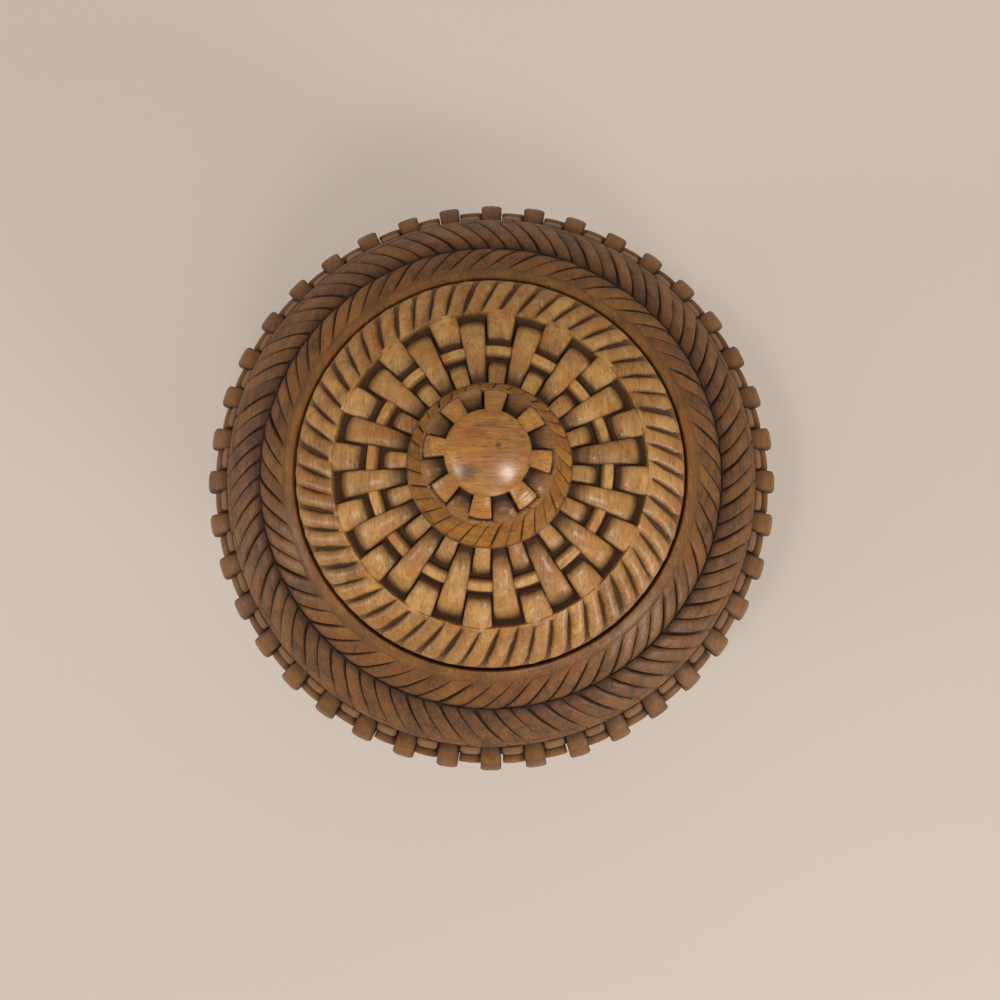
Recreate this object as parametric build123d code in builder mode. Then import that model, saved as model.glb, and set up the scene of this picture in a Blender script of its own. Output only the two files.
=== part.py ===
"""A round wooden trinket box carved to look like a woven basket.

Three pieces, in millimetres, +Z up, origin at the middle of the foot's underside:
basket_body  the hollow basket, with a rebate round its mouth
lid          the domed lid that drops into the rebate
knob         the carved knob glued into the lid by its tenon

The woven surfaces are all made the same way. A bar, the weaver, runs round the box, and columns of wood,
the stakes, cross it. Every second stake rises over the weaver as one long hump, and the stake beside it
dips under the weaver, so that it shows as two short strips with the weaver between them. The basket's
shoulder and the lid's border are smooth slopes with rings of leaning V-shaped cuts.
"""

import os
from math import acos, cos, degrees, radians, sin, sqrt, tan

from build123d import *

# Basket: the skin is the smooth surface that the carving starts from
skin_radius = 49.0
belly_height = 30.0
rim_height = 57.9
foot_radius = 29.0
foot_height = 3.0
waist_radius = 27.5
recess_radius = 21.0
recess_depth = 1.0

# Basket: mouth, seat and hollow
mouth_radius = 25.2
seat_depth = 2.2
cavity_radius = 43.4
cavity_rise = 27.0
cavity_drop = 25.5
cavity_floor = 18.0

# Basket: herringbone shoulder, two rows of leaning cuts that meet at a groove, the spine
shoulder_radius = 42.1
spine_radius = 35.4
spine_width = 1.2
spine_depth = 1.15
outer_cuts = 84
inner_cuts = 66
outer_lean = 5.2
inner_lean = 7.4
cut_depth = 0.9
cut_angle = 38.0
plain_edge = 0.4
plain_rim = 1.8
spine_land = 0.2

# Basket: woven side, and the plain band between it and the foot
carving_depth = 1.4
side_stakes = 80
side_weavers = 3
first_weaver = 8.4
base_band = 12.6
weaver_rise = 1.2
stake_rise = 2.4
stake_width = 3.4
window_length = 5.2
edge_step = 0.3

# Lid
lid_radius = 28.25
lid_clearance = 0.45
lid_edge = 3.6
lid_edge_bevel = 0.8
dome_radius = 49.5
dish_radius = 22.5
dish_depth = 2.4

# Lid: rope border, and the woven panel between it and the knob
rope_cuts = 56
rope_lean = 6.6
rope_cut_depth = 0.6
border_radius = 22.2
panel_depth = 1.7
lid_stakes = 32
lid_turn = 6.8
lid_weaver_radius = 16.6
lid_stake_width = 1.8
lid_weaver_rise = 1.1
lid_stake_rise = 0.25
lid_window = 3.6
lid_slope_drop = 0.5

# Knob
collar_radius = 11.1
collar_lip = 0.5
collar_hollow = 0.9
flare_steps = 4
neck_radius = 8.2
neck_height = 11.2
head_radius = 7.5
head_height = 12.0
cap_radius = 5.1
knob_height = 15.2
cap_dome = 0.5
knob_stakes = 16
knob_turn = 16.2
knob_stake_fill = 0.9
knob_cut = 1.1
tenon_radius = 3.4
tenon_length = 5.0
glue_gap = 0.1
socket_gap = 0.4
boss_inset = 0.6
strip_clearance = 0.15

# How far a raised strip is rooted in the piece that it is carved on
root = 0.6

full_turn = 360.0
belly = (0, belly_height)
seat_radius = lid_radius + lid_clearance
seat_height = rim_height - seat_depth


def ellipse_angle(radius, across):
    """The ellipse's own angle, in degrees, where it reaches a radius."""
    return degrees(acos(radius / across))


def strip(outline, width):
    """One strip: an outline of the half section made into a flat-faced wedge, centred on the X axis."""
    half = radians(width / 2)
    reach = max(point[0] for point in outline)
    with BuildPart() as wedge:
        with BuildSketch(Plane.XZ):
            Polygon(*outline)
        extrude(amount=reach * sin(half) * 1.1, both=True)
        for side in (-1, 1):
            split(bisect_by=Plane((0, 0, 0), z_dir=(-sin(half), side * cos(half), 0)), keep=Keep.BOTTOM)
    return wedge.part


def ring_of(piece, count, first):
    """Evenly spaced copies of a piece round the box's axis."""
    return [piece.moved(place) for place in PolarLocations(0, count, first)]


def v_cut(start, end, lean, depth):
    """A cutter for one leaning groove: its bottom runs straight between two points of the half section, each
    given as radius and height, and turns by the lean, in degrees, on the way."""
    half = radians(lean / 2)
    low = Vector(start[0] * cos(half), -start[0] * sin(half), start[1])
    high = Vector(end[0] * cos(half), end[0] * sin(half), end[1])
    way = high - low
    with BuildPart() as cutter:
        with BuildSketch(Plane(low, x_dir=Vector(0, 0, 1).cross(way), z_dir=way)):
            spread = 3 * depth * tan(radians(cut_angle))
            Polygon((0, 0), (spread, 3 * depth), (-spread, 3 * depth), align=None)
        extrude(amount=way.length)
    return cutter.part


# The side's carved ground starts under the shoulder, and below the weave a plain band leads to the foot
skin_rise = (rim_height - belly_height) / sqrt(1 - (seat_radius / skin_radius) ** 2)
ground_radius = skin_radius - carving_depth
ground_rise = skin_rise - carving_depth
ground_drop = (belly_height - foot_height) / sqrt(1 - (waist_radius / ground_radius) ** 2)
spine_angle = ellipse_angle(spine_radius, ground_radius)
shoulder_angle = ellipse_angle(shoulder_radius, ground_radius)
waist_angle = ellipse_angle(waist_radius, ground_radius)
with BuildLine(Plane.XZ) as side_path:
    under_shoulder = EllipticalCenterArc(belly, ground_radius, ground_rise, spine_angle,
                                         arc_size=shoulder_angle - spine_angle)
    upper_side = EllipticalCenterArc(belly, ground_radius, ground_rise, shoulder_angle,
                                     arc_size=-shoulder_angle)
    lower_side = EllipticalCenterArc(belly, ground_radius, ground_drop, 0, arc_size=-waist_angle)
side_line = side_path.wires()[0]
side_length = upper_side.length + lower_side.length
woven_length = side_length - base_band
weaver_pitch = (woven_length - 2 * first_weaver) / (side_weavers - 1)


def on_side(distance, rise):
    """Point of the half section: a distance down the side from the shoulder's edge, a rise off the ground."""
    along = under_shoulder.length + distance
    spot = side_line.position_at(along, position_mode=PositionMode.LENGTH)
    way = side_line.tangent_at(along, position_mode=PositionMode.LENGTH)
    return (spot.X - way.Z * rise, spot.Z + way.X * rise)


def on_skin(radius, rise):
    """Point of the half section at a radius on the shoulder's smooth skin, raised straight up."""
    return (radius, belly_height + skin_rise * sqrt(1 - (radius / skin_radius) ** 2) + rise)


side_pitch = full_turn / side_stakes
half_stake = stake_width / 2
half_window = window_length / 2
spine_half = spine_width / 2
short_rise = carving_depth - edge_step
weaver_places = [first_weaver + row * weaver_pitch for row in range(side_weavers)]


def side_column(step):
    """Every second column of the side. It rides over the weavers of every second row and dips under the rest,
    and where it dips beside the plain top or foot it comes up short of them as a flat strip."""
    outline = []
    for row, middle in enumerate(weaver_places):
        over = row % 2 == step
        if over and row == 0:
            outline += [(-root, 0), (middle - weaver_pitch + half_window, 0)]
        elif row == 0:
            outline += [(-root, short_rise), ((middle - half_window) / 2, short_rise),
                        (middle - half_window, 0)]
        elif not over:
            outline += [(middle - half_window, 0)]
        if over:
            outline += [(middle - half_stake, stake_rise), (middle + half_stake, stake_rise)]
        else:
            outline += [(middle, weaver_rise), (middle + half_window, 0)]
    if over:
        outline += [(middle + weaver_pitch - half_window, 0), (woven_length + root, 0)]
    else:
        outline += [(woven_length - (first_weaver - half_window) / 2, short_rise),
                    (woven_length + root, short_rise)]
    under = [(woven_length + root, -2 * root)] + [(middle, -2 * root) for middle in reversed(weaver_places)]
    section = outline + under + [(-root, -2 * root)]
    column = strip([on_side(along, rise) for along, rise in section], side_pitch)
    return ring_of(column, side_stakes // 2, step * side_pitch)


side_weave = side_column(0) + side_column(1)

# The herringbone's cuts are deep beside the spine and run out before the shoulder's edge and before the rim
outer_cutter = v_cut(on_skin(spine_radius + spine_half + spine_land, -cut_depth),
                     on_skin(shoulder_radius - plain_edge, 0), outer_lean, cut_depth)
inner_cutter = v_cut(on_skin(seat_radius + plain_rim, 0),
                     on_skin(spine_radius - spine_half - spine_land, -cut_depth), -inner_lean, cut_depth)

# Basket body
with BuildPart() as basket_body:
    with BuildSketch(Plane.XZ):
        with BuildLine():
            mouth_angle = ellipse_angle(mouth_radius, cavity_radius)
            hollow = EllipticalCenterArc(belly, cavity_radius, cavity_rise, mouth_angle,
                                         arc_size=-mouth_angle)
            bowl = EllipticalCenterArc(belly, cavity_radius, cavity_drop, 0,
                                       arc_size=-ellipse_angle(cavity_floor, cavity_radius))
            Polyline(on_skin(shoulder_radius, 0), on_skin(spine_radius + spine_half, 0),
                     on_skin(spine_radius, -spine_depth), on_skin(spine_radius - spine_half, 0),
                     on_skin(seat_radius, 0), (seat_radius, seat_height), (mouth_radius, seat_height),
                     hollow @ 0)
            Polyline(bowl @ 1, (0, (bowl @ 1).Y), (0, recess_depth), (recess_radius, recess_depth),
                     (recess_radius + recess_depth, 0), (foot_radius, 0), (foot_radius, foot_height),
                     (waist_radius, foot_height))
            Polyline((waist_radius, foot_height), on_side(woven_length, carving_depth),
                     on_side(woven_length, -root),
                     *[on_side(middle, -root) for middle in reversed(weaver_places)],
                     on_side(0, -root), on_side(0, 0), on_skin(shoulder_radius, 0))
        make_face()
    revolve(axis=Axis.Z)
    add(side_weave, clean=False)
    add(ring_of(outer_cutter, outer_cuts, 0) + ring_of(inner_cutter, inner_cuts, 0), mode=Mode.SUBTRACT,
        clean=False)

# Lid
border_height = seat_height + lid_edge
dome_centre = border_height - sqrt(dome_radius ** 2 - lid_radius ** 2)
boss_radius = collar_radius - boss_inset


def on_dome(radius, rise):
    """Point of the half section at a radius on the lid's dome, raised square to it."""
    up = sqrt(dome_radius ** 2 - radius ** 2)
    return (radius * (1 + rise / dome_radius), dome_centre + up * (1 + rise / dome_radius))


knob_seat = on_dome(collar_radius, 0)[1] + strip_clearance
lid_pitch = full_turn / lid_stakes
half_lid_stake = lid_stake_width / 2
half_lid_window = lid_window / 2
inside = boss_radius - root
outside = border_radius + root
over_weaver = [(inside, -panel_depth), (boss_radius + root, -panel_depth),
               (lid_weaver_radius - lid_window, -lid_slope_drop),
               (lid_weaver_radius - half_lid_stake, lid_stake_rise),
               (lid_weaver_radius + half_lid_stake, lid_stake_rise),
               (lid_weaver_radius + lid_window, -lid_slope_drop),
               (border_radius - root, -panel_depth), (outside, -panel_depth)]
under_weaver = [(inside, -strip_clearance), (collar_radius + root, -strip_clearance),
                (lid_weaver_radius - half_lid_window, -panel_depth),
                (lid_weaver_radius, lid_weaver_rise - panel_depth),
                (lid_weaver_radius + half_lid_window, -panel_depth),
                (border_radius - 2 * root, -strip_clearance), (outside, -strip_clearance)]


def lid_column(outline, step):
    """Every second column of the lid's panel, from points as radius and rise."""
    under = [(outside, -panel_depth - 2 * root), (inside, -panel_depth - 2 * root)]
    column = strip([on_dome(radius, rise) for radius, rise in outline + under], lid_pitch)
    return ring_of(column, lid_stakes // 2, lid_turn + step * lid_pitch)


with BuildPart() as lid:
    with BuildSketch(Plane.XZ) as lid_half:
        with BuildLine():
            Polyline(on_dome(border_radius, 0), (lid_radius, border_height), (lid_radius, seat_height),
                     (dish_radius, seat_height))
            dish = SagittaArc((dish_radius, seat_height), (-dish_radius, seat_height), -dish_depth,
                              mode=Mode.PRIVATE)
            ThreePointArc((dish_radius, seat_height), dish @ 0.25, dish @ 0.5)
            Polyline((0, seat_height + dish_depth), (0, knob_seat - tenon_length - socket_gap),
                     (tenon_radius + glue_gap, knob_seat - tenon_length - socket_gap),
                     (tenon_radius + glue_gap, knob_seat), (boss_radius, knob_seat),
                     on_dome(boss_radius, -panel_depth - root), on_dome(border_radius, -panel_depth - root),
                     on_dome(border_radius, 0))
        make_face()
        chamfer(lid_half.vertices().group_by(Axis.X)[-1].sort_by(Axis.Y)[-1], lid_edge_bevel)
    revolve(axis=Axis.Z)
    add(lid_column(over_weaver, 0) + lid_column(under_weaver, 1), clean=False)
    rope_cutter = v_cut(on_dome(border_radius + root, -rope_cut_depth),
                        (lid_radius, border_height - 0.7 * lid_edge_bevel), -rope_lean, rope_cut_depth)
    add(ring_of(rope_cutter, rope_cuts, 0), mode=Mode.SUBTRACT, clean=False)

# Knob: its flare is a few straight tapers that follow one hollow arc
knob_pitch = full_turn / knob_stakes
neck = knob_seat + neck_height
rim = knob_seat + head_height
cap = knob_seat + knob_height - cap_dome
knob_strip = knob_pitch * knob_stake_fill
inner_cut = strip([(cap_radius, cap), (cap_radius, cap - knob_cut), (head_radius, rim - 0.2 * knob_cut),
                   (neck_radius + root, neck + knob_cut), (head_radius, cap + root)], knob_strip)
outer_cut = strip([(head_radius - knob_cut, neck - 0.3 * knob_cut),
                   (neck_radius - 0.3 * knob_cut, neck - 0.3 * knob_cut),
                   (neck_radius + root, neck + knob_cut), (head_radius - 0.5 * knob_cut, cap)], knob_strip)

with BuildPart() as knob:
    with BuildSketch(Plane.XZ):
        with BuildLine():
            Polyline((0, knob_seat + knob_height), (0, knob_seat - tenon_length),
                     (tenon_radius, knob_seat - tenon_length), (tenon_radius, knob_seat),
                     (collar_radius, knob_seat), (collar_radius, knob_seat + collar_lip))
            flare = SagittaArc((collar_radius, knob_seat + collar_lip), (neck_radius, neck), collar_hollow,
                               mode=Mode.PRIVATE)
            Polyline(*[flare @ (turned / flare_steps) for turned in range(flare_steps + 1)])
            Polyline((neck_radius, neck), (head_radius, neck), (head_radius, rim), (cap_radius, cap))
            crown = SagittaArc((cap_radius, cap), (-cap_radius, cap), -cap_dome, mode=Mode.PRIVATE)
            ThreePointArc((cap_radius, cap), crown @ 0.25, crown @ 0.5)
        make_face()
    revolve(axis=Axis.Z)
    add(ring_of(inner_cut, knob_stakes // 2, knob_turn) +
        ring_of(outer_cut, knob_stakes // 2, knob_turn + knob_pitch), mode=Mode.SUBTRACT)

basket_body.part.label = "basket_body"
lid.part.label = "lid"
knob.part.label = "knob"
os.makedirs("parts", exist_ok=True)
export_step(basket_body.part, "parts/basket_body.step")
export_step(lid.part, "parts/lid.step")
export_step(knob.part, "parts/knob.step")
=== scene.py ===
# %% [markdown]
# A round trinket box with a domed lid and a tall knob. It is turned from wood and then carved by hand so
# that it looks woven: columns of wood ride over and under thin bars, and plaited rows run round the
# shoulder and the lid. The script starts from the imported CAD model, whose three solids fix every size. It
# then dresses them with the fine carving and with the finish of old waxed wood.

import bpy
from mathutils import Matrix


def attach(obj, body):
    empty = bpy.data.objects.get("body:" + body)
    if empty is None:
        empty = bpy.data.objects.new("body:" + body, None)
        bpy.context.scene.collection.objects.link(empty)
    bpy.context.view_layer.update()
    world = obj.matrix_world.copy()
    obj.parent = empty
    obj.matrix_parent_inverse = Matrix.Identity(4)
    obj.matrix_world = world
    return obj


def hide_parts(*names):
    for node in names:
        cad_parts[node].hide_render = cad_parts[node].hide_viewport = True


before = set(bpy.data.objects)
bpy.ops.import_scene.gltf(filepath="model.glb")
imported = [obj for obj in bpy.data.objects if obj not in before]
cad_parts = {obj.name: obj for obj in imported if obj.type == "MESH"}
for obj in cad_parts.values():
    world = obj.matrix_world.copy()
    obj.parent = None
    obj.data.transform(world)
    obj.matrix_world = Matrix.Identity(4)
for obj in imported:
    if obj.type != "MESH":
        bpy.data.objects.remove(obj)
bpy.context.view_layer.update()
print("pieces of the CAD model:", sorted(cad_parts))

# %% [markdown]
# The camera comes first, so that every later step can be looked at. The photograph is taken from above with
# a wide lens held close, about 17 cm over the table and leaning back a little, so the knob looks large and
# the box's sides bend away under its shoulder. A longer lens from further off would show the same outline,
# but not this bulge.

# %% Camera
from math import acos, asin, cos, degrees, pi, radians, sin, sqrt

import bmesh
import bpy
import numpy as np
from mathutils import Vector

scene = bpy.context.scene
lens = bpy.data.cameras.new("camera")
lens.lens = 27.04
lens.sensor_width = 36.0
lens.clip_start = 0.005
camera = bpy.data.objects.new("camera", lens)
camera.location = (0.0014, -0.0103, 0.1668)
camera.rotation_euler = (radians(3.25), 0, 0)
scene.collection.objects.link(camera)
scene.camera = camera
print("camera height in mm:", round(1000 * camera.location.z, 1))

# %% [markdown]
# Node trees get long when each node is made by hand. Two small classes keep them short. A network has one
# method that makes any node, and a signal wraps a socket so that sums on it can be written as plain Python.


# %% Network of nodes
class Network:
    """A node tree being made. Every node comes from one method."""

    def __init__(self, tree):
        self.tree = tree

    def node(self, kind, settings=None, **sockets):
        """A node of a kind, its settings first and then the values or links of its sockets."""
        made = self.tree.nodes.new(kind)
        for key, value in (settings or {}).items():
            setattr(made, key, value)
        for key, value in sockets.items():
            target = made.inputs[int(key[1:])] if key[0] == "_" else made.inputs[key.replace("_", " ")]
            if isinstance(value, Signal):
                value = value.socket
            if isinstance(value, bpy.types.NodeSocket):
                self.tree.links.new(value, target)
            else:
                target.default_value = value
        return made

    def signal(self, kind, settings=None, output=0, **sockets):
        """One output of a new node, ready for sums."""
        return Signal(self, self.node(kind, settings, **sockets).outputs[output])


# %% Signals in a network
class Signal:
    """A number that runs through a network. Sums on it add Math nodes."""

    def __init__(self, network, socket):
        self.network = network
        self.socket = socket

    def maths(self, operation, first, second):
        """A Math node on two numbers or signals."""
        return self.network.signal("ShaderNodeMath", {"operation": operation}, _0=first, _1=second)

    def __add__(self, other):
        return self.maths("ADD", self, other)

    def __sub__(self, other):
        return self.maths("SUBTRACT", self, other)

    def __mul__(self, other):
        return self.maths("MULTIPLY", self, other)

    def __radd__(self, other):
        return self.maths("ADD", other, self)

    def __rsub__(self, other):
        return self.maths("SUBTRACT", other, self)

    def __rtruediv__(self, other):
        return self.maths("DIVIDE", other, self)

    def between(self, low, high):
        """0 below low, 1 above high and straight between them."""
        return self.network.signal("ShaderNodeMapRange", {"clamp": True}, _0=self, _1=low, _2=high)


# %% [markdown]
# The wood is mid brown with straight, fine grain and short dark pores. Stain has settled in every cut, and
# handling has polished the tops to amber. The same stain colour also paints the shade that falls in the cuts,
# in the gaps and where strips dip under others. A painted picture of the wood would blur near the knob, so
# the grain is made of noise that is drawn out along one axis. The mesh says how much stain and painted shade
# each point gets, in a point attribute, and how dark each carved strip is, in one called tone. The grain
# itself follows the object's own coordinates, so it runs straight through neighbouring strips as it does in a
# solid block.

# %% Carved wood
mm = 0.001


def linear(red, green, blue):
    """A colour written as 0 to 255 on a screen, as the shader wants it."""
    scaled = [value / 255 for value in (red, green, blue)]
    return [v / 12.92 if v <= 0.04045 else ((v + 0.055) / 1.055) ** 2.4 for v in scaled] + [1.0]


def carved_wood(name, light, dark, amber, stain_and_shade, along, offset, gloss, wax, marks=()):
    """Waxed wood with its grain along one axis: two wood colours, amber patches, and the stain of its cuts,
    which also paints the shade there. Each mark in the wood is a place, a radius in mm and a strength."""
    material = bpy.data.materials.new(name)
    material.use_nodes = True
    material.node_tree.nodes.clear()
    net = Network(material.node_tree)
    place = net.node("ShaderNodeTexCoord").outputs["Object"]

    def grain(width, length, detail, start):
        """Noise drawn out along the grain: the width and length of a streak in mm, how fine it is and
        where it starts."""
        scale = [1 / (width * mm)] * 3
        scale["XYZ".index(along)] = 1 / (length * mm)
        spot = net.node("ShaderNodeMapping", Vector=place, Location=(start, offset, start), Scale=scale)
        return net.signal("ShaderNodeTexNoise", Vector=spot.outputs[0], Scale=1.0, Detail=detail,
                          Roughness=0.62, Distortion=0.5)

    def mixed(amount, first, second):
        """One colour laid over another by an amount from 0 to 1."""
        return net.node("ShaderNodeMix", {"data_type": "RGBA", "clamp_factor": True},
                        _0=amount, _6=first, _7=second).outputs[2]

    stain_and_shade_mask = net.signal("ShaderNodeAttribute", {"attribute_name": "stain_and_shade_mask"}, 2)
    tone = net.signal("ShaderNodeAttribute", {"attribute_name": "tone"}, 2)
    streaks = grain(0.4, 6.0, 4.0, 3.0).between(0.34, 0.66)
    cloud = grain(3.6, 5.0, 3.0, 7.0).between(0.36, 0.64)
    patches = grain(2.2, 4.0, 3.0, 23.0).between(0.46, 0.62)
    pores = grain(0.2, 2.0, 1.0, 11.0).between(0.62, 0.72)
    tool = grain(1.1, 1.6, 3.0, 17.0)
    shade = streaks * 0.4 + cloud * 0.5 + tone * 0.35 + (tool - 0.5) * 0.6 - 0.06
    wood = mixed(patches * 0.6, mixed(shade, light, dark), amber)
    # Stain and painted shade: the stain colour covers the points that the mesh marks. It is real stain in the
    # cuts and painted shade in the grooves, gaps and dipping ends.
    stain_and_shade_amount = (stain_and_shade_mask * 1.15 + (tool - 0.5) * 0.45 * stain_and_shade_mask).between(0.0, 1.0)
    colour = mixed(pores * 0.35, mixed(stain_and_shade_amount, wood, stain_and_shade), stain_and_shade)
    for spot, radius, strength in marks:
        away = net.signal("ShaderNodeVectorMath", {"operation": "DISTANCE"}, 1, _0=place, _1=spot)
        near = 1 - (away + (tool - 0.5) * radius * mm).between(0.2 * radius * mm, radius * mm)
        colour = mixed(near * strength, colour, stain_and_shade)
    height = streaks * 0.5 - pores * 0.8 + tool * 2.2
    bump = net.node("ShaderNodeBump", Height=height, Strength=0.7, Distance=0.12 * mm)
    rough = gloss + streaks * 0.12 + stain_and_shade_amount * 0.4 + pores * 0.12
    shader = net.node("ShaderNodeBsdfPrincipled", Base_Color=colour, Roughness=rough, Normal=bump.outputs[0],
                      Specular_IOR_Level=0.32, Coat_Weight=(1 - stain_and_shade_amount) * wax, Coat_Roughness=0.22)
    net.node("ShaderNodeOutputMaterial", Surface=shader.outputs[0])
    return material


# %% [markdown]
# The basket is the darkest piece and the lid the lightest. The knob is a piece of its own, and its grain
# runs across the lid's. It has been handled most, so its wax is thickest. A small knot and a darker mark
# lie on its disc. One function with other colours keeps the three related, as pieces from one workshop are.

# %% The three finishes
basket_wood = carved_wood("basket_wood", linear(138, 90, 32), linear(75, 44, 12), linear(128, 68, 15),
                          linear(56, 33, 14), along="Y", offset=2.0, gloss=0.42, wax=0.16)
lid_wood = carved_wood("lid_wood", linear(194, 145, 78), linear(118, 75, 30), linear(164, 98, 33),
                       linear(78, 50, 28), along="Y", offset=5.0, gloss=0.38, wax=0.3)
knot = ((1.2 * mm, 0.75 * mm, 82.2 * mm), 0.55, 0.8)
dark_mark = ((-2.3 * mm, -2.3 * mm, 82.1 * mm), 1.6, 0.7)
knob_wood = carved_wood("knob_wood", linear(186, 128, 46), linear(86, 46, 10), linear(158, 88, 18),
                        linear(50, 29, 11), along="X", offset=9.0, gloss=0.32, wax=0.6,
                        marks=(knot, dark_mark))
of_basket = {"material": basket_wood, "body": "basket", "slot": "basket_wood"}
of_lid = {"material": lid_wood, "body": "lid", "slot": "lid_wood"}
of_knob = {"material": knob_wood, "body": "lid", "slot": "knob_wood"}
print("materials:", [m.name for m in (basket_wood, lid_wood, knob_wood)])

# %% [markdown]
# All carving on the box is laid out on its half section, the outline on one side of the axis. A line of
# that half section gives a place for any distance along it and any rise off the surface. That is how a
# carver thinks too: so far down the side, so deep. Five lines are enough: the woven side, the shoulder, the
# lid's dome, the knob's flare and the knob's head.


# %% Lines of the half section
class Line:
    """A line of the half section, from the top outwards and down, in mm. It runs on past its ends."""
    runs_on = 3
    half_step = 0.2

    def __init__(self, points):
        points = np.asarray(points, float)
        first = points[0] + (points[0] - points[1]) * self.runs_on
        last = points[-1] + (points[-1] - points[-2]) * self.runs_on
        self.points = np.vstack([first, points, last])
        steps = np.hypot(*np.diff(self.points, axis=0).T)
        self.gone = np.concatenate([[0], np.cumsum(steps)]) - steps[0]

    @property
    def length(self):
        """How long the line is between its own two ends."""
        return float(self.gone[-2])

    def spot(self, distance):
        """Radius and height at a distance along the line."""
        return [np.interp(distance, self.gone, self.points[:, axis]) for axis in (0, 1)]

    def at(self, distance, rise=0.0):
        """Radius and height at a distance along the line, raised square to it."""
        distance = np.asarray(distance, float)
        before, after = self.spot(distance - self.half_step), self.spot(distance + self.half_step)
        run, climb = after[0] - before[0], after[1] - before[1]
        length = np.hypot(run, climb)
        radius, height = self.spot(distance)
        return radius - climb / length * rise, height + run / length * rise

    def reach(self, radius):
        """The distance at which the line passes a radius."""
        return float(np.interp(radius, self.points[:, 0], self.gone))


# %% [markdown]
# The belly and the shoulder are two arcs of ellipses round one centre. The skin is the shoulder's surface,
# and the ground lies deeper and shows dark behind the weave, with stain and painted shade. A chain of
# measured points would do as well, but an ellipse stays smooth and takes only its two sizes.

# %% The basket's side and shoulder
belly_height = 30.0
skin_radius, skin_rise = 49.0, 34.42
ground_radius, ground_rise, ground_drop = 47.6, 33.02, 33.08
shoulder_radius, spine_radius, seat_radius = 42.1, 35.4, 28.7
shoulder_inside, shoulder_outside = 27.5, 42.6
waist_radius, foot_radius = 27.5, 29.0
seat_height, rim_height = 55.7, 57.9


def ellipse(across, up, start, end, steps=60):
    """Points of an ellipse round the belly's centre, from one of its own angles to another in degrees."""
    turn = np.radians(np.linspace(start, end, steps))
    return np.column_stack([across * np.cos(turn), belly_height + up * np.sin(turn)])


edge_angle = degrees(acos(shoulder_radius / ground_radius))
waist_angle = degrees(acos(waist_radius / ground_radius))
upper = ellipse(ground_radius, ground_rise, edge_angle, 0)
lower = ellipse(ground_radius, ground_drop, 0, -waist_angle)
side = Line(np.vstack([upper, lower[1:]]))
shoulder = Line(ellipse(skin_radius, skin_rise, degrees(acos(shoulder_inside / skin_radius)),
                        degrees(acos(shoulder_outside / skin_radius))))
on_shoulder = shoulder.reach
print("woven side in mm:", round(side.length, 2))

# %% [markdown]
# The solid wood under the carving is one closed surface of revolution. A Screw modifier could spin its
# outline, and here a small function does the same and also gives each point of the outline an amount of
# stain and painted shade, which darkens it in the cuts and recesses.


# %% Lathe
def smooth(mesh, angle=38):
    """Smooth shading, with crisp edges where the surface turns by more than an angle."""
    mesh.shade_smooth()
    mesh.set_sharp_from_angle(angle=radians(angle))


def outward(mesh):
    """Turns the faces of a closed mesh outwards."""
    work = bmesh.new()
    work.from_mesh(mesh)
    bmesh.ops.recalc_face_normals(work, faces=work.faces)
    work.to_mesh(mesh)
    work.free()


def store_stain_and_shade(mesh, stain_and_shade_values):
    """Writes how much stain and painted shade each point gets, from 0 to 1."""
    mesh.attributes.new("stain_and_shade_mask", "FLOAT", "POINT").data.foreach_set("value", np.array(stain_and_shade_values, np.float32))


def lathe(name, outline, turns, material, body, slot):
    """A closed turned piece: points of radius, height and stain with painted shade, from the axis round to
    the axis again.
    """
    outline = np.asarray(outline, float)
    angle = np.arange(turns) * 2 * pi / turns
    places, stain_and_shade_mask, faces = [], [], []
    for radius, height, stain_and_shade_value in outline[1:-1]:
        places += [(radius * cos(a) * mm, radius * sin(a) * mm, height * mm) for a in angle]
        stain_and_shade_mask += [stain_and_shade_value] * turns
    rows = len(outline) - 2
    for row in range(rows - 1):
        for k in range(turns):
            n = (k + 1) % turns
            faces.append((row * turns + k, row * turns + n, (row + 1) * turns + n, (row + 1) * turns + k))
    for point, row in ((outline[0], 0), (outline[-1], rows - 1)):
        pole = len(places)
        places.append((0, 0, point[1] * mm))
        stain_and_shade_mask.append(point[2])
        faces += [(pole, row * turns + k, row * turns + (k + 1) % turns) for k in range(turns)]
    mesh = bpy.data.meshes.new(name)
    mesh.from_pydata(places, [], faces)
    outward(mesh)
    store_stain_and_shade(mesh, stain_and_shade_mask)
    mesh.materials.append(material)
    smooth(mesh)
    piece = bpy.data.objects.new(name, mesh)
    scene.collection.objects.link(piece)
    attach(piece, body)
    print(name, "has", len(mesh.polygons), "faces")
    return piece


# %% Points of an outline
def plain(points, stain_and_shade_value):
    """Points of radius and height, all with the same stain and painted shade."""
    return np.array([(radius, height, stain_and_shade_value) for radius, height in points], float)


def run(line, stops, count):
    """Points of radius, height and stain with painted shade along a line, from stops of distance, rise and
    stain with painted shade.
    """
    stops = np.asarray(stops, float)
    order = np.argsort(stops[:, 0])
    spread = np.linspace(stops[0, 0], stops[-1, 0], count)
    rise = np.interp(spread, stops[order, 0], stops[order, 1])
    stain_and_shade_value = np.interp(spread, stops[order, 0], stops[order, 2])
    radius, height = line.at(spread, rise)
    return np.column_stack([radius, height, stain_and_shade_value])


# %% [markdown]
# The basket's own wood: a foot with a shallow recess under it, a plain band, the dark ground behind the
# weave, the shoulder, a rebate that carries the lid, and the hollowed bowl inside. The outline follows them
# in that order, from the axis under the foot round to the axis in the bowl, and the lathe closes it into one
# piece. The ground and the spine get full stain and painted shade, and the rebate under the lid's edge gets
# painted shade and stain too.

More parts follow.
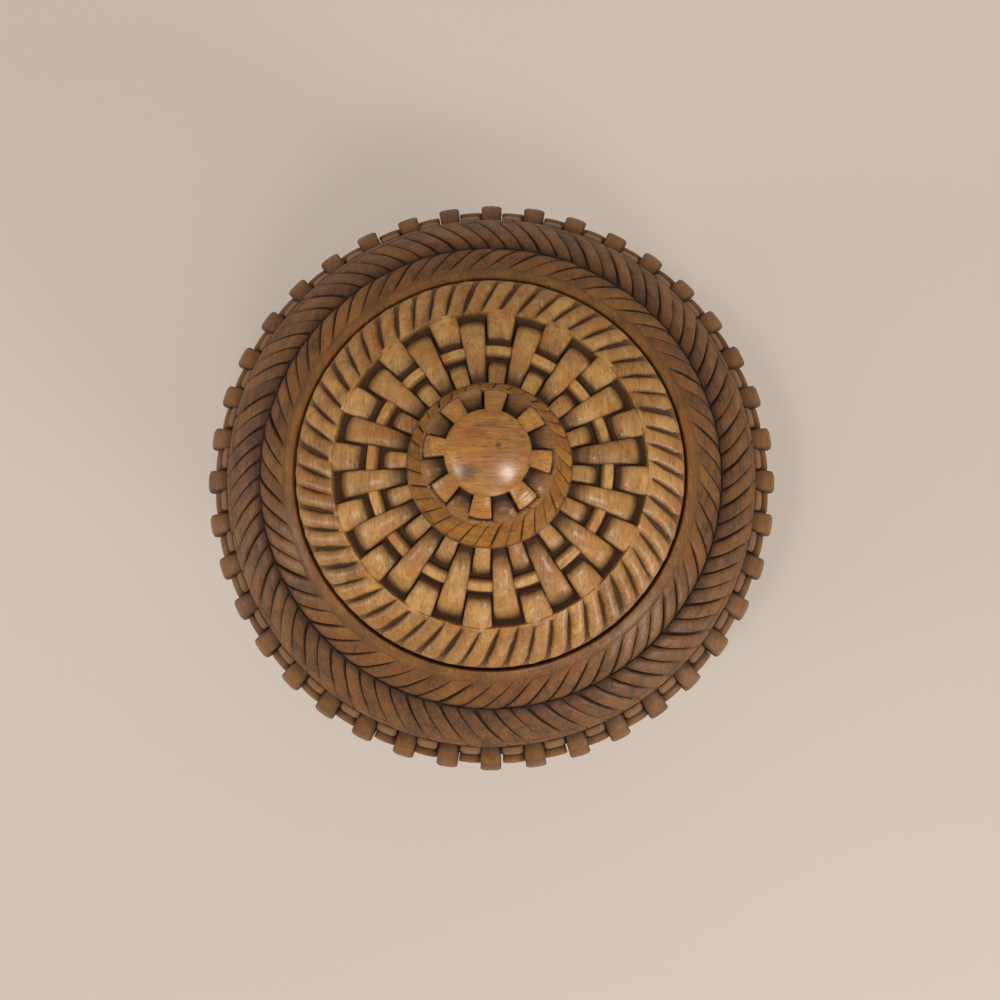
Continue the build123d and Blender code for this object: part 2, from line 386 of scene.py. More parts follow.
# %% Sizes of the basket
first_weaver, side_rows, base_band = 8.4, 3, 12.6
woven_length = side.length - base_band
weaver_pitch = (woven_length - 2 * first_weaver) / (side_rows - 1)
band_foot = np.array([waist_radius, 3.3])
band_top = np.array(side.at(woven_length, 1.38))
inner_fade, outer_fade = 30.4, 41.6
cavity_radius, cavity_rise, cavity_drop = 43.4, 27.0, 25.5
mouth_radius, bowl_radius = 25.2, 18.0
print("pitch of the bars in mm:", round(weaver_pitch, 2))

# %% Basket shell
foot_outline = [(0, 1.0), (20.6, 1.0), (21.2, 0.8), (22.0, 0.08), (22.3, 0.0), (foot_radius - 0.6, 0.0),
                (foot_radius - 0.15, 0.18), (foot_radius, 0.6), (foot_radius, 2.4), (foot_radius - 0.2, 2.85),
                (foot_radius - 0.6, 3.0), (waist_radius + 0.2, 3.05)]
band_outline = [band_foot + (band_top - band_foot) * k / 12 for k in range(12)]
rim_outline = [(seat_radius + 0.16, rim_height - 0.18), (seat_radius + 0.04, rim_height - 0.3),
               (seat_radius, rim_height - 0.5)]
seat_outline = [(seat_radius, seat_height + 0.1), (seat_radius - 0.1, seat_height),
                (mouth_radius + 0.4, seat_height), (mouth_radius, seat_height - 0.3)]
mouth_angle = degrees(acos(mouth_radius / cavity_radius))
bowl_angle = degrees(acos(bowl_radius / cavity_radius))
bowl_outline = np.vstack([ellipse(cavity_radius, cavity_rise, mouth_angle, 0, 24)[1:],
                          ellipse(cavity_radius, cavity_drop, 0, -bowl_angle, 24)[1:]])
bowl_height = bowl_outline[-1][1]
# The third value of each point is stain with painted shade: full in the ground and the spine, some in the
# rebate, the foot and the bowl.
shell_outline = np.vstack([
    plain(foot_outline, 0.25),
    plain(band_outline, 0.1),
    run(side, [(woven_length + 0.35, 1.3, 0.2), (woven_length + 0.15, 1.0, 0.5),
               (woven_length, -0.3, 1.0)], 4),
    run(side, [(woven_length - 0.5, -0.35, 1.0), (0.4, -0.35, 1.0)], 60),
    run(side, [(0.1, -0.2, 1.0), (-0.05, 0.7, 0.8)], 3),
    run(shoulder, [(on_shoulder(shoulder_radius), -0.3, 0.4), (on_shoulder(outer_fade), -0.08, 0.3),
                   (on_shoulder(40.4), -0.4, 0.9), (on_shoulder(spine_radius + 0.8), -0.9, 1.0),
                   (on_shoulder(spine_radius), -1.1, 1.0), (on_shoulder(spine_radius - 0.8), -0.9, 1.0),
                   (on_shoulder(32.0), -0.5, 0.9), (on_shoulder(inner_fade), -0.03, 0.25),
                   (on_shoulder(29.8), 0.0, 0.0), (on_shoulder(29.1), -0.02, 0.0)], 60),
    plain(rim_outline, 0.15),
    plain(seat_outline, 0.6),
    plain(bowl_outline, 0.2),
    plain([(12, bowl_height), (0, bowl_height)], 0.2),
])
basket_shell = lathe("basket_shell", shell_outline, 320, **of_basket)
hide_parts("basket_body")

# %% [markdown]
# Each carved strip, whether a hump of the weave or a strand of the plait, is the same kind of thing: a
# short closed bar, rooted in the wood below it, with a lean, a width that changes along it and a rounded
# top. Bevelled boxes bent by modifiers would do, but one function that reads a few rules makes it on any
# line directly.


# %% Carved strip
def carved_strip(name, line, start, end, half_width, rise, lean, stain_and_shade_mask, along=8,
                 across=(-1, -0.7, 0, 0.7, 1), root=1.0):
    """A closed strip mesh on a line. Half width and lean are in degrees and rise in mm, all functions of how
    far along the strip a point is, from 0 to 1. Rise and the stain with painted shade also read how far
    across it is, -1 to 1."""
    t = np.linspace(0, 1, along + 1)[:, None]
    s = np.array(across, float)[None, :]
    distance = start + (end - start) * t
    top = line.at(distance + 0 * s, rise(t, s) + 0 * t * s)
    foot = line.at(distance + np.zeros((1, 2)), -root)
    turn = lean(t) + half_width(t) * s
    foot_turn = lean(t) + half_width(t) * np.array([[1.0, -1.0]])
    radius, height = np.hstack([top[0], foot[0]]), np.hstack([top[1], foot[1]])
    angle = np.radians(np.hstack([turn, foot_turn]))
    stain_and_shade_value = np.hstack([np.clip(stain_and_shade_mask(t, s) + 0 * t * s, 0, 1), np.ones((along + 1, 2))])
    places = np.stack([radius * np.cos(angle), radius * np.sin(angle), height], axis=-1).reshape(-1, 3) * mm
    wide = angle.shape[1]
    faces = [(i * wide + k, (i + 1) * wide + k, (i + 1) * wide + (k + 1) % wide, i * wide + (k + 1) % wide)
             for i in range(along) for k in range(wide)]
    faces += [tuple(range(wide)), tuple(range(along * wide, (along + 1) * wide))]
    mesh = bpy.data.meshes.new(name)
    mesh.from_pydata(places.tolist(), [], faces)
    outward(mesh)
    store_stain_and_shade(mesh, stain_and_shade_value.reshape(-1))
    smooth(mesh, 50)
    return mesh


# %% Rules for a strip's form, stain and painted shade
def steady(value):
    """The same value all along a strip."""
    return lambda t: value + 0 * t


def eased(*stops):
    """A smooth value along a strip, through stops of place, from 0 to 1, and value."""
    spots, values = np.array(stops, float).T

    def value(t):
        index = np.clip(np.searchsorted(spots, t) - 1, 0, len(spots) - 2)
        part = np.clip((t - spots[index]) / (spots[index + 1] - spots[index]), 0, 1)
        part = part * part * (3 - 2 * part)
        return values[index] + (values[index + 1] - values[index]) * part

    return value


def crowned(s, edge, drop, crown):
    """How far the top of a strip falls away from its middle line: a slight crown and a rounded edge."""
    return crown * s ** 2 + drop * np.clip((np.abs(s) - edge) / (1 - edge), 0, 1) ** 1.5


def rounded(rise, edge, drop, crown=0.05):
    """The rise of a strip's top, crowned and with its long edges rounded."""
    return lambda t, s: rise(t) - crowned(s, edge, drop, crown)


def stained_and_shaded(stain_and_shade, edge, power):
    """The stain and painted shade along a strip, with more of them at the long edges."""
    return lambda t, s: stain_and_shade(t) + edge * np.abs(s) ** power


# %% [markdown]
# The strips stand in rings, so one Geometry Nodes tree repeats them. It turns copies of a strip round the
# axis, gives each its own tone and a small difference in place and height, because a carver's hand isn't a
# machine, and moves the points a little for knife marks. An Array modifier could turn the copies too, but
# they would all be alike. The tree ends by making the copies real.


# %% Ring of carved strips
def ring_tree():
    """The node tree that repeats a strip round the Z axis."""
    tree = bpy.data.node_groups.new("ring of carved strips", "GeometryNodeTree")
    for label, kind in (("Geometry", "Geometry"), ("Count", "Int"), ("First turn", "Float"),
                        ("Turn jitter", "Float"), ("Lift jitter", "Float"), ("Knife marks", "Float"),
                        ("Tone", "Float"), ("Tone spread", "Float"), ("Seed", "Int"),
                        ("Material", "Material")):
        tree.interface.new_socket(label, in_out="INPUT", socket_type="NodeSocket" + kind)
    tree.interface.new_socket("Geometry", in_out="OUTPUT", socket_type="NodeSocketGeometry")
    net = Network(tree)
    given = net.node("NodeGroupInput").outputs
    index = net.signal("GeometryNodeInputIndex")

    def chance(low, high, shift):
        """A random number for each strip, with its own seed."""
        seed = Signal(net, given["Seed"]) + shift
        return net.signal("FunctionNodeRandomValue", {"data_type": "FLOAT"}, 1, _2=low, _3=high, _7=index,
                          _8=seed)

    step = 2 * pi / Signal(net, given["Count"])
    turn = index * step + given["First turn"] + chance(-1.0, 1.0, 1) * given["Turn jitter"]
    spin = net.node("ShaderNodeCombineXYZ", Z=turn)
    turned = net.node("FunctionNodeEulerToRotation", _0=spin.outputs[0])
    size = 1 - chance(0.0, 1.0, 2) * given["Lift jitter"]
    points = net.node("GeometryNodePoints", _0=given["Count"])
    copies = net.node("GeometryNodeInstanceOnPoints", Points=points.outputs[0], Instance=given["Geometry"],
                      Rotation=turned.outputs[0], Scale=size)
    toned = net.node("GeometryNodeStoreNamedAttribute", {"data_type": "FLOAT", "domain": "INSTANCE"},
                     Geometry=copies.outputs[0], Name="tone",
                     Value=chance(-1.0, 1.0, 3) * given["Tone spread"] + given["Tone"])
    real = net.node("GeometryNodeRealizeInstances", _0=toned.outputs[0])
    marks_per_metre = 330.0
    noise = net.node("ShaderNodeTexNoise", Scale=marks_per_metre, Detail=1.0,
                     Vector=net.node("GeometryNodeInputPosition").outputs[0])
    middle = net.node("ShaderNodeVectorMath", {"operation": "SUBTRACT"}, _0=noise.outputs[1],
                      _1=(0.5, 0.5, 0.5))
    offset = net.node("ShaderNodeVectorMath", {"operation": "SCALE"}, _0=middle.outputs[0],
                      _3=given["Knife marks"])
    moved = net.node("GeometryNodeSetPosition", Geometry=real.outputs[0], Offset=offset.outputs[0])
    dressed = net.node("GeometryNodeSetMaterial", Geometry=moved.outputs[0], Material=given["Material"])
    net.node("NodeGroupOutput", _0=dressed.outputs[0])
    return tree


ring = ring_tree()
print("inputs of the ring:", [item.name for item in ring.interface.items_tree if item.in_out == "INPUT"])


# %% Carve a ring
def carve_ring(strip, count, first, material, body, slot, turn_jitter, lift_jitter, knife, seed, tone,
               spread=0.7):
    """A ring of copies of a strip as one plain mesh. Turns are in degrees and knife marks in mm."""
    pattern = bpy.data.objects.new(strip.name, strip)
    scene.collection.objects.link(pattern)
    modifier = pattern.modifiers.new("ring", "NODES")
    modifier.node_group = ring
    wanted = {"Count": count, "First turn": radians(first), "Turn jitter": radians(turn_jitter),
              "Lift jitter": lift_jitter, "Knife marks": knife * mm, "Tone": tone, "Tone spread": spread,
              "Seed": seed, "Material": material}
    for item in ring.interface.items_tree:
        if item.in_out == "INPUT" and item.name in wanted:
            modifier[item.identifier] = wanted[item.name]
    depsgraph = bpy.context.evaluated_depsgraph_get()
    mesh = bpy.data.meshes.new_from_object(pattern.evaluated_get(depsgraph), depsgraph=depsgraph)
    pattern.modifiers.remove(modifier)
    pattern.data = mesh
    mesh.name = pattern.name
    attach(pattern, body)
    print(pattern.name, "has", len(mesh.polygons), "faces in", count, "strips")


# %% [markdown]
# Around the side, every second column of a row rises over its bar as one long hump, and the next row is a
# column on. In the windows between the humps the bar shows as a short rounded piece. Every hump of a row is
# the same strip, so a row is one ring, and turning the next ring by a column makes the weave.

# %% Woven side
side_stakes = 40
column = 180 / side_stakes
half_window, half_bar, half_flat = 2.6, 1.7, 1.6
half_hump = weaver_pitch - half_window
flat = half_flat / half_hump / 2
hump_rise = eased((0, -0.5), (0.5 - flat, 2.3), (0.5, 2.36), (0.5 + flat, 2.3), (1, -0.5))
# Humps and bars get stain with painted shade at the ends where they dip under each other.
hump_stain_and_shade = eased((0, 1.0), (0.08, 0.9), (0.26, 0.1), (0.5, 0.0), (0.74, 0.1), (0.92, 0.9), (1, 1.0))
for row in range(side_rows):
    middle = first_weaver + row * weaver_pitch
    hump = carved_strip(f"side_hump_{row + 1}", side, middle - half_hump, middle + half_hump, steady(2.06),
                        rounded(hump_rise, 0.75, 0.2, 0.06), steady(0), stained_and_shaded(hump_stain_and_shade, 0.4, 8), along=12)
    carve_ring(hump, side_stakes, (row % 2) * column, **of_basket, turn_jitter=0.2, lift_jitter=0.002,
               knife=0.15, seed=10 + row, tone=-0.3)
    bar = carved_strip(f"side_bar_{row + 1}", side, middle - half_bar, middle + half_bar, steady(2.35),
                       lambda t, s: 1.3 * np.sin(np.clip(t, 0.02, 0.98) * pi) ** 0.6 - 0.15 * np.abs(s) ** 4,
                       steady(0), stained_and_shaded(lambda t: 0.7 * np.abs(2 * t - 1) ** 3, 0.5, 6), along=6)
    carve_ring(bar, side_stakes, ((row + 1) % 2) * column, **of_basket, turn_jitter=0.2, lift_jitter=0.002,
               knife=0.1, seed=20 + row, tone=-0.6)

# %% [markdown]
# At the top and the foot of the weave the columns that have just come up from under a bar run into the
# plain wood. They show as short flat strips that fill the gaps between the humps. Half a hump would bulge
# too far here, so two more strips get a rise of their own, level at one end.

# %% Short strips at the top and foot of the weave
window = first_weaver - half_window
# The short strips get stain with painted shade where they dip into the weave.
top_short = carved_strip("side_top_short", side, -0.35, window, steady(2.12),
                         rounded(eased((0, 1.0), (0.5, 1.0), (0.8, 0.5), (1, -0.5)), 0.75, 0.2), steady(0),
                         stained_and_shaded(eased((0, 0.6), (0.2, 0.1), (0.6, 0.1), (1, 1.0)), 0.4, 8))
carve_ring(top_short, side_stakes, column, **of_basket, turn_jitter=0.2, lift_jitter=0.002, knife=0.12,
           seed=31, tone=-0.9)
foot_short = carved_strip("side_foot_short", side, woven_length - window, woven_length + 0.6, steady(2.12),
                          rounded(eased((0, -0.5), (0.3, 0.5), (0.6, 1.0), (1, 1.05)), 0.75, 0.2), steady(0),
                          stained_and_shaded(eased((0, 1.0), (0.4, 0.1), (0.8, 0.1), (1, 0.6)), 0.4, 8))
carve_ring(foot_short, side_stakes, (side_rows % 2) * column, **of_basket, turn_jitter=0.2,
           lift_jitter=0.002, knife=0.12, seed=32, tone=-0.4)

# %% [markdown]
# The shoulder is a plait of two rows that lean opposite ways and meet in a dark groove, the spine. Their
# cuts are deep at the spine and die away towards the lid and towards the outer edge. Cutting grooves into
# the shell would need a very fine mesh, so each strand is a strip of its own, and the dark cut is the gap
# between two. The groove and the strands' long edges are darkened with stain and painted shade.

# %% Outer row of the herringbone
flat_across = (-1, -0.93, -0.84, -0.3, 0.3, 0.84, 0.93, 1)
outer_strands, outer_lean = 84, 7.8
outer_cut = eased((0, 1.0), (0.6, 0.8), (0.9, 0.3), (1, 0.0))
outer_row = carved_strip("shoulder_outer_row", shoulder, on_shoulder(spine_radius + 0.15),
                         on_shoulder(shoulder_radius + 0.1),
                         lambda t: 2.02 - 0.1 * (1 - t) ** 3,
                         lambda t, s: -0.05 - crowned(s, 0.84, 0.3, 0.03) * outer_cut(t) - 0.5 * (1 - t) ** 9,
                         lambda t: outer_lean * (t - 0.5),
                         lambda t, s: outer_cut(t) * np.abs(s) ** 12 + 0.8 * (1 - t) ** 8, along=9,
                         across=flat_across)
carve_ring(outer_row, outer_strands, 180 / outer_strands, **of_basket, turn_jitter=0.25, lift_jitter=0.002,
           knife=0.12, seed=41, tone=0.8, spread=0.6)

# %% Inner row of the herringbone
inner_strands, inner_lean = 66, -10.0
inner_cut = eased((0, 0.0), (0.2, 0.3), (0.5, 0.9), (1, 1.0))
inner_row = carved_strip("shoulder_inner_row", shoulder, on_shoulder(inner_fade - 0.5),
                         on_shoulder(spine_radius - 0.1),
                         lambda t: 2.56 - 0.1 * t ** 3,
                         lambda t, s: -0.04 - crowned(s, 0.84, 0.3, 0.04) * inner_cut(t) - 0.5 * t ** 9,
                         lambda t: inner_lean * (t - 0.5),
                         lambda t, s: inner_cut(t) * np.abs(s) ** 12 + 0.8 * t ** 8, along=9,
                         across=flat_across)
carve_ring(inner_row, inner_strands, 180 / inner_strands, **of_basket, turn_jitter=0.3, lift_jitter=0.002,
           knife=0.12, seed=42, tone=0.35, spread=0.6)

# %% [markdown]
# The lid is a shallow dome. Its solid wood steps down inside a rope border to the ground of a woven panel,
# and the underside is dished out so that the lid isn't heavy. It is turned like the basket, so the same
# lathe makes it.

# %% Sizes of the lid
lid_radius, lid_bottom, dome_radius = 28.25, seat_height, 49.5
dome_inside, dome_outside = 8.0, 27.35
border_radius, collar_radius, panel_ground = 22.2, 11.1, -1.95
border_height = lid_bottom + 3.6
dome_centre = border_height - sqrt(dome_radius ** 2 - lid_radius ** 2)
dome_turn = np.radians(np.linspace(degrees(asin(dome_inside / dome_radius)),
                                   degrees(asin(dome_outside / dome_radius)), 40))
dome = np.column_stack([dome_radius * np.sin(dome_turn), dome_centre + dome_radius * np.cos(dome_turn)])
lid_line = Line(np.vstack([dome, [(27.75, 59.42), (28.05, 59.12), (28.2, 58.7), (lid_radius, 58.2),
                                  (lid_radius, 57.2)]]))
on_lid = lid_line.reach
knob_seat = dome_centre + sqrt(dome_radius ** 2 - collar_radius ** 2) + 0.15
glue_line = knob_seat - 0.02
print("the knob sits at a height in mm of:", round(knob_seat, 2))

# %% Lid core
dish_radius, dish_rise = 22.5, 2.4
dish = [(dish_radius * k / 10, lid_bottom + dish_rise * (1 - (k / 10) ** 2)) for k in range(1, 10)]
lid_foot = [(dish_radius, lid_bottom), (27.8, lid_bottom), (28.1, lid_bottom + 0.12),
            (lid_radius - 0.03, lid_bottom + 0.4), (lid_radius, lid_bottom + 0.9)]
# The third value is stain with painted shade: full on the panel's ground and under the rope, less on the edge
# and the underside.
lid_outline = np.vstack([
    plain([(0, lid_bottom + dish_rise)] + dish + lid_foot, 0.25),
    run(lid_line, [(lid_line.length, 0.0, 0.4), (on_lid(28.2), -0.12, 0.5), (on_lid(27.5), -0.35, 0.8),
                   (on_lid(26.5), -0.8, 1.0), (on_lid(24.0), -0.85, 1.0), (on_lid(22.6), -0.5, 0.7),
                   (on_lid(border_radius + 0.05), -0.35, 0.6)], 34),
    run(lid_line, [(on_lid(border_radius), -0.6, 1.0), (on_lid(border_radius - 0.1), panel_ground, 1.0),
                   (on_lid(10.6), panel_ground, 1.0)], 26),
    plain([(10.5, knob_seat - 0.6), (10.3, glue_line), (0, glue_line)], 1.0),
])
lid_core = lathe("lid_core", lid_outline, 256, **of_lid)
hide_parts("lid")

# %% [markdown]
# Round the lid's edge runs a rope of leaf-shaped strands. They are convex, lean together and wrap over the
# edge, with lens-shaped dark cuts between them, darkened with stain and painted shade. A real rope is twisted
# from round cords, but this one is only cut into the wood, so each strand is a flat strip that narrows where
# the cut is deepest.

# %% Rope border
rope_strands, rope_lean = 56, -7.2
rope_cut = eased((0, 0.05), (0.16, 0.6), (0.42, 1.0), (0.66, 0.75), (0.86, 0.25), (1, 0.2))
rope_strand = carved_strip("lid_rope", lid_line, on_lid(border_radius - 0.05), on_lid(28.24) + 0.5,
                           lambda t: 3.23 - 0.36 * rope_cut(t),
                           lambda t, s: -0.03 - 0.2 * s ** 2 - crowned(s, 0.5, 0.42, 0.08) * rope_cut(t),
                           lambda t: rope_lean * (t - 0.5),
                           lambda t, s: 0.25 * np.abs(s) ** 5 + rope_cut(t) * np.abs(s) ** 6,
                           along=12, across=(-1, -0.88, -0.7, -0.4, 0, 0.4, 0.7, 0.88, 1))
carve_ring(rope_strand, rope_strands, 180 / rope_strands, **of_lid, turn_jitter=0.4, lift_jitter=0.002,
           knife=0.2, seed=51, tone=0.35, spread=0.5)

# %% [markdown]
# Inside the rope is a flat weave of sixteen long strips that ride over one thin bar, and between them pairs
# of short strips that dive under it. A dark square pocket is cut at the outer end of each long strip. All
# of them are rings of the same strip as before, each with its own rise along it, and the dark pocket is
# what is left open between them. The pocket's ground and the strips' dipping ends get stain and painted
# shade.

# %% Long strips of the lid
lid_stakes, panel_root = 16, 2.3
lid_column = 180 / lid_stakes
long_turn, short_turn = 0.6 * lid_column, 1.6 * lid_column
edged = (-1, -0.92, -0.8, -0.4, 0, 0.4, 0.8, 0.92, 1)
long_rise = eased((0, -1.5), (0.14, -0.95), (0.32, -0.2), (0.55, 0.2), (0.74, 0.08), (0.84, -0.25),
                  (0.91, -0.7), (0.97, -1.25), (1, -1.5))
long_stain_and_shade = eased((0, 1.0), (0.12, 0.9), (0.2, 0.35), (0.3, 0.0), (0.78, 0.0), (0.86, 0.35), (0.92, 0.85),
                   (1, 1.0))
long_strip = carved_strip("lid_long_strip", lid_line, on_lid(10.8), on_lid(22.1),
                          lambda t: 5.25 - 0.25 * (1 - t) ** 2, rounded(long_rise, 0.85, 0.16, 0.2),
                          steady(0), stained_and_shaded(long_stain_and_shade, 0.6, 7), along=18, across=edged,
                          root=panel_root)
carve_ring(long_strip, lid_stakes, long_turn, **of_lid, turn_jitter=0.6, lift_jitter=0.003, knife=0.26,
           seed=61, tone=0.0, spread=0.5)

# %% Short strips of the lid
outer_rise = eased((0, -1.8), (0.06, -1.15), (0.25, -0.6), (0.55, -0.25), (1, -0.12))
outer_stain_and_shade = eased((0, 1.0), (0.08, 0.9), (0.2, 0.2), (0.35, 0.0), (1, 0.0))
outer_short = carved_strip("lid_outer_short", lid_line, on_lid(18.0), on_lid(22.7), steady(5.35),
                           rounded(outer_rise, 0.85, 0.16, 0.18), steady(0), stained_and_shaded(outer_stain_and_shade, 0.5, 7),
                           along=12, across=edged, root=panel_root)
carve_ring(outer_short, lid_stakes, short_turn, **of_lid, turn_jitter=0.5, lift_jitter=0.002, knife=0.24,
           seed=62, tone=-0.4, spread=0.5)
inner_rise = eased((0, -0.2), (0.4, -0.35), (0.7, -0.7), (0.88, -1.0), (1, -1.5))
inner_stain_and_shade = eased((0, 0.4), (0.15, 0.0), (0.7, 0.05), (0.88, 0.7), (1, 1.0))
inner_short = carved_strip("lid_inner_short", lid_line, on_lid(10.4), on_lid(15.2), steady(5.2),
                           rounded(inner_rise, 0.85, 0.16, 0.16), steady(0), stained_and_shaded(inner_stain_and_shade, 0.5, 7),
                           along=10, across=edged, root=panel_root)
carve_ring(inner_short, lid_stakes, short_turn, **of_lid, turn_jitter=0.5, lift_jitter=0.002, knife=0.22,
           seed=63, tone=-0.1, spread=0.5)

# %% Thin bar of the lid
bar_rise = eased((0, -1.6), (0.14, -0.68), (0.3, -0.55), (0.7, -0.55), (0.86, -0.68), (1, -1.6))
lid_bar = carved_strip("lid_bar", lid_line, on_lid(15.7), on_lid(17.5), steady(6.4),
                       lambda t, s: bar_rise(t) - 0.03 * s ** 2, steady(0),
                       stained_and_shaded(lambda t: np.abs(2 * t - 1) ** 8, 0.5, 10), along=10,
                       across=(-1, -0.85, -0.7, 0, 0.7, 0.85, 1), root=panel_root)
carve_ring(lid_bar, lid_stakes, short_turn, **of_lid, turn_jitter=0.4, lift_jitter=0.002, knife=0.12,
           seed=64, tone=-1.0, spread=0.5)

# %% [markdown]
# The knob is glued into the lid. It flares at its foot like a collar, cut into leaning strands. Its head is
# a smooth disc, round which sixteen small blocks go over and under in turn. The core is turned, and the
# disc is turned apart from it, so that its polished edge stays crisp over the dark cuts round it. The cuts
# get stain and painted shade.

# %% Knob core
neck_height, neck_radius, flare_bow = 11.2, 8.2, 0.9
flare_low = np.array([collar_radius, knob_seat + 0.5])
flare_high = np.array([neck_radius, knob_seat + neck_height])
part = np.linspace(0, 1, 30)[:, None]
bow = 4 * flare_bow * part * (1 - part)
square = np.array([flare_high[1] - flare_low[1], -(flare_high[0] - flare_low[0])])
square = square / np.hypot(*square)
flare_line = Line(flare_high + (flare_low - flare_high) * part - bow * square)
head_line = Line(np.array([(4.7, 14.7), (5.5, 14.25), (6.3, 13.45), (7.0, 12.5), (7.5, 11.8), (7.95, 11.35),
                           (8.3, 10.9)]) + (0, knob_seat))
flare_end, head_end = flare_line.length, head_line.length
# The third value is stain with painted shade: full under the blocks and in the flare below the collar.
knob_outline = np.vstack([
    plain([(0, glue_line), (collar_radius - 0.1, glue_line), (collar_radius, knob_seat + 0.1)], 0.6),
    run(flare_line, [(flare_end, -0.05, 0.6), (flare_end - 1.0, -0.45, 0.9), (2.0, -0.6, 1.0),
                     (0.4, -0.3, 1.0)], 24),
    run(head_line, [(head_end - 0.6, -0.6, 1.0), (head_end - 0.9, -1.4, 1.0), (1.5, -1.8, 1.0),
                    (0.3, -1.5, 1.0)], 16),
    plain([(0, knob_seat + 13.2)], 1.0),
])
knob_core = lathe("knob_core", knob_outline, 160, **of_knob)
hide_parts("knob")

# %% Knob cap
cap_radius, cap_rise, knob_top = 5.0, 14.7, 15.2
cap_edge, cap_bulge = knob_seat + cap_rise - 0.25, knob_top - cap_rise + 0.2
crown = [(cap_radius * k / 10, cap_edge + cap_bulge * (1 - (k / 10) ** 2)) for k in range(9, 0, -1)]
# Under its edge the disc gets stain with painted shade.
cap_outline = np.vstack([
    plain([(0, knob_seat + 12.8), (4.85, knob_seat + 12.8)], 1.0),
    plain([(4.98, knob_seat + 13.6)], 0.8),
    plain([(5.08, knob_seat + 14.1), (4.98, knob_seat + 14.38)], 0.15),
    plain(crown + [(0, knob_seat + knob_top - 0.05)], 0.0),
])
lathe("knob_cap", cap_outline, 120, **of_knob)

# %% [markdown]
# The strands of the collar follow the flare and lean more than any others. They are only fine cuts, so
# their edges are sharp and nearly as high as their middles. A bump in the finish would show such fine cuts
# too, but not where they notch the edge of the flare, so they are cut into the form.

# %% Collar strands
collar_strands, collar_lean = 33, -16.0
# The cuts between the collar's strands get stain with painted shade.
collar_strand = carved_strip("knob_collar", flare_line, 0.3, flare_end + 0.1, steady(5.3),
                             lambda t, s: -0.02 - crowned(s, 0.84, 0.16, 0.06) - 0.1 * t ** 8,
                             lambda t: collar_lean * (t - 0.5),
                             lambda t, s: (0.35 + 0.4 * t) * np.abs(s) ** 12, along=8, across=edged, root=0.9)
carve_ring(collar_strand, collar_strands, 0.0, **of_knob, turn_jitter=0.6, lift_jitter=0.001, knife=0.1,
           seed=71, tone=0.1, spread=0.5)

# %% [markdown]
# Round the disc, every second block stands flush with it and ends in a thin dark cut. The blocks between
# rise from a deep dark cut beside the disc to a round outer end. That is the same over and under as on the
# side, only smaller, so two more rings of strips make it. The dark of the cuts is stain with painted shade.

# %% Blocks round the disc
knob_pairs, block_root = 8, 1.9
flat_turn = 38.7
ramp_turn = flat_turn - 180 / knob_pairs
flat_rise = eased((0, -0.3), (0.1, -0.2), (0.6, 0.25), (0.9, 0.55), (0.96, 0.5), (1, 0.1))
flat_stain_and_shade = eased((0, 0.8), (0.08, 0.1), (0.86, 0.0), (0.95, 0.3), (1, 1.0))
flat_block = carved_strip("knob_flat_block", head_line, 0.15, 3.7, lambda t: 11.2 - 0.8 * t,
                          rounded(flat_rise, 0.86, 0.12, 0.03), steady(0), stained_and_shaded(flat_stain_and_shade, 0.5, 10),
                          along=12, across=edged, root=block_root)
carve_ring(flat_block, knob_pairs, flat_turn, **of_knob, turn_jitter=1.5, lift_jitter=0.001, knife=0.1,
           seed=72, tone=-0.25, spread=0.6)
ramp_rise = eased((0, -1.6), (0.28, -0.95), (0.48, -0.2), (0.66, 0.22), (0.84, 0.3), (1, 0.0))
ramp_stain_and_shade = eased((0, 1.0), (0.28, 0.95), (0.5, 0.5), (0.68, 0.15), (1, 0.05))
ramp_block = carved_strip("knob_ramp_block", head_line, 0.3, head_end - 0.1, lambda t: 10.5 + 0.6 * t,
                          rounded(ramp_rise, 0.7, 0.2, 0.1), steady(0), stained_and_shaded(ramp_stain_and_shade, 0.5, 8),
                          along=12, across=edged, root=block_root)
carve_ring(ramp_block, knob_pairs, ramp_turn, **of_knob, turn_jitter=1.5, lift_jitter=0.001, knife=0.1,
           seed=73, tone=0.35, spread=0.5)

# %% [markdown]
# The box stands on a plain pale table top. A single square does for it, so large that its edge lies outside
# the picture. It is no part of the box.

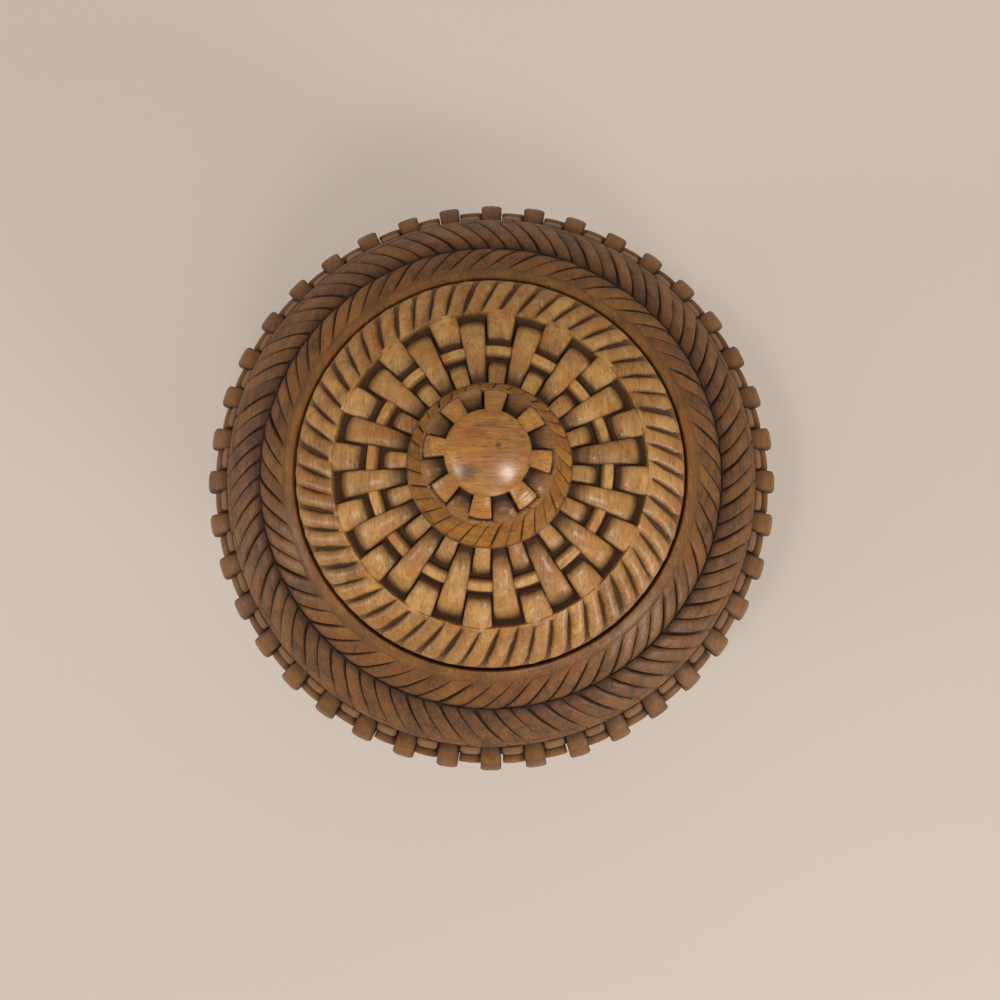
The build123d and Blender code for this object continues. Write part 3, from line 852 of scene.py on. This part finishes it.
# %% Table top
half_table = 1.5
corners = [(x * half_table, y * half_table, 0) for x, y in ((-1, -1), (1, -1), (1, 1), (-1, 1))]
floor_mesh = bpy.data.meshes.new("table_top")
floor_mesh.from_pydata(corners, [], [(0, 1, 2, 3)])
floor = bpy.data.objects.new("table_top", floor_mesh)
scene.collection.objects.link(floor)
top_finish = bpy.data.materials.new("table_top")
top_finish.use_nodes = True
top_shader = top_finish.node_tree.nodes["Principled BSDF"]
top_shader.inputs["Base Color"].default_value = linear(208, 194, 179)
top_shader.inputs["Roughness"].default_value = 0.6
floor_mesh.materials.append(top_finish)
print("table top in m:", 2 * half_table)

# %% [markdown]
# Two round ceiling lamps and the soft light of a room, strongest from the side that the camera leans to,
# light the box. The lamps are small and near, so that the wax shows them as two clear spots on the knob's
# disc. The shares add up to about one, a level at which a colour renders about as it is written.

# %% Light
room_share = 0.42
world = bpy.data.worlds.new("room")
world.use_nodes = True
world.node_tree.nodes["Background"].inputs["Color"].default_value = (1.0, 0.985, 0.965, 1.0)
world.node_tree.nodes["Background"].inputs["Strength"].default_value = room_share
scene.world = world


def lamp(name, place, width, share):
    """A round lamp that looks at the box. Its share is the part of the plain light level that it gives."""
    light = bpy.data.lights.new(name, "AREA")
    light.shape = "DISK"
    light.size = width
    spot = Vector(place)
    level = spot.normalized().z
    light.energy = share * pi * pi * spot.length_squared / level
    holder = bpy.data.objects.new(name, light)
    holder.location = spot
    holder.rotation_euler = (-spot).to_track_quat("-Z", "Y").to_euler()
    scene.collection.objects.link(holder)
    return share


lamp_shares = [
    lamp("room", (0.3, -1.5, 1.6), 0.5, 0.1),
    lamp("ceiling_right", (0.25, -0.16, 1.0), 0.16, 0.24),
    lamp("ceiling_left", (-0.45, -0.14, 0.95), 0.16, 0.12),
    lamp("window_right", (1.32, -1.24, 0.6), 0.7, 0.1),
    lamp("window_left", (-1.8, -0.52, 0.56), 0.7, 0.05),
]
scene.view_settings.view_transform = "Standard"
print("level of the light:", round(room_share + sum(lamp_shares), 2))
